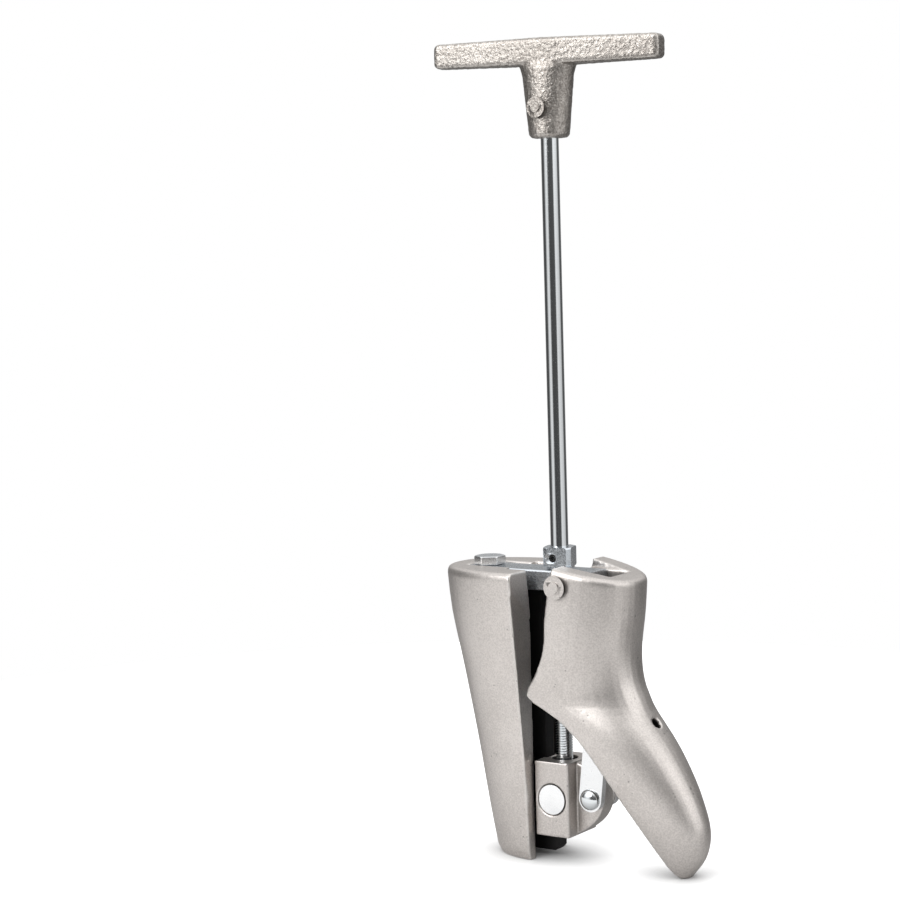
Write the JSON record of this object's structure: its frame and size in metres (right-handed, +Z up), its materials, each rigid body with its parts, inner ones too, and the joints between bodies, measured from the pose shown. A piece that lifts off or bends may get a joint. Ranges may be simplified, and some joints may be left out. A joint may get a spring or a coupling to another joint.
{
  "type": "boot instep stretcher",
  "caption": "Cast metal boot instep stretcher: a T-handled screw lifts a guided block whose links swing a hinged foot away from the back casting",
  "frame": {"origin": "middle of the bounding box at floor level, with the tool standing on its back casting and toe", "axes": "+X towards the toe, +Y to the right of a wearer facing away from the toe, +Z up; the screw leans back 1.6 degrees from +Z"},
  "size_m": [0.2066, 0.0836, 0.5562],
  "materials": {
    "cast_aluminium": "bead-blasted casting, satin",
    "sand_cast_aluminium": "rough sand casting",
    "polished_steel": "polished",
    "zinc_steel": "bright zinc plate",
    "black_steel": "black oxide"
  },
  "bodies": {
    "root": {"back_casting": "cast_aluminium", "guide_rail": "black_steel", "rail_screw_upper": "zinc_steel", "rail_screw_lower": "zinc_steel", "hinge_bar": "zinc_steel", "bar_bolt": "zinc_steel", "thrust_washer": "zinc_steel", "hinge_pin": "black_steel"},
    "handle": {"t_handle": "sand_cast_aluminium", "handle_pin": "black_steel", "drive_rod": "polished_steel", "thrust_collar": "zinc_steel", "collar_pin": "black_steel", "retaining_collar": "zinc_steel", "retaining_pin": "black_steel"},
    "block": {"slider_block": "cast_aluminium", "barrel_nut": "zinc_steel", "lug_rivet": "polished_steel"},
    "foot": {"foot_casting": "cast_aluminium", "link_bracket": "zinc_steel", "bracket_pin": "zinc_steel", "bracket_screw": "black_steel"},
    "links": {"link_near": "zinc_steel", "link_far": "zinc_steel"}
  },
  "joints": [
    {"name": "handle_spin", "type": "hinge", "parent": "root", "child": "handle", "pos_m": [-0.01272, 0, 0.19892], "axis": [0.0279, 0, -0.9996], "range_deg": [0, 2700]},
    {"name": "block_travel", "type": "slide", "parent": "root", "child": "block", "axis": [-0.0279, 0, 0.9996], "range_m": [0, 0.01313]},
    {"name": "foot_swing", "type": "hinge", "parent": "root", "child": "foot", "pos_m": [0.00617, 0, 0.19245], "axis": [0, -1, 0], "range_deg": [0, 15.13]},
    {"name": "link_swing", "type": "hinge", "parent": "block", "child": "links", "pos_m": [0.01888, 0, 0.04564], "axis": [0, 1, 0], "range_deg": [0, 22.96]}
  ],
  "couplings": [
    {"joint": "block_travel", "follows": "handle_spin", "m_per_rad": 0.00027852},
    {"joint": "foot_swing", "follows": "handle_spin", "ratio": 0.0056},
    {"joint": "link_swing", "follows": "handle_spin", "ratio": 0.0085}
  ]
}
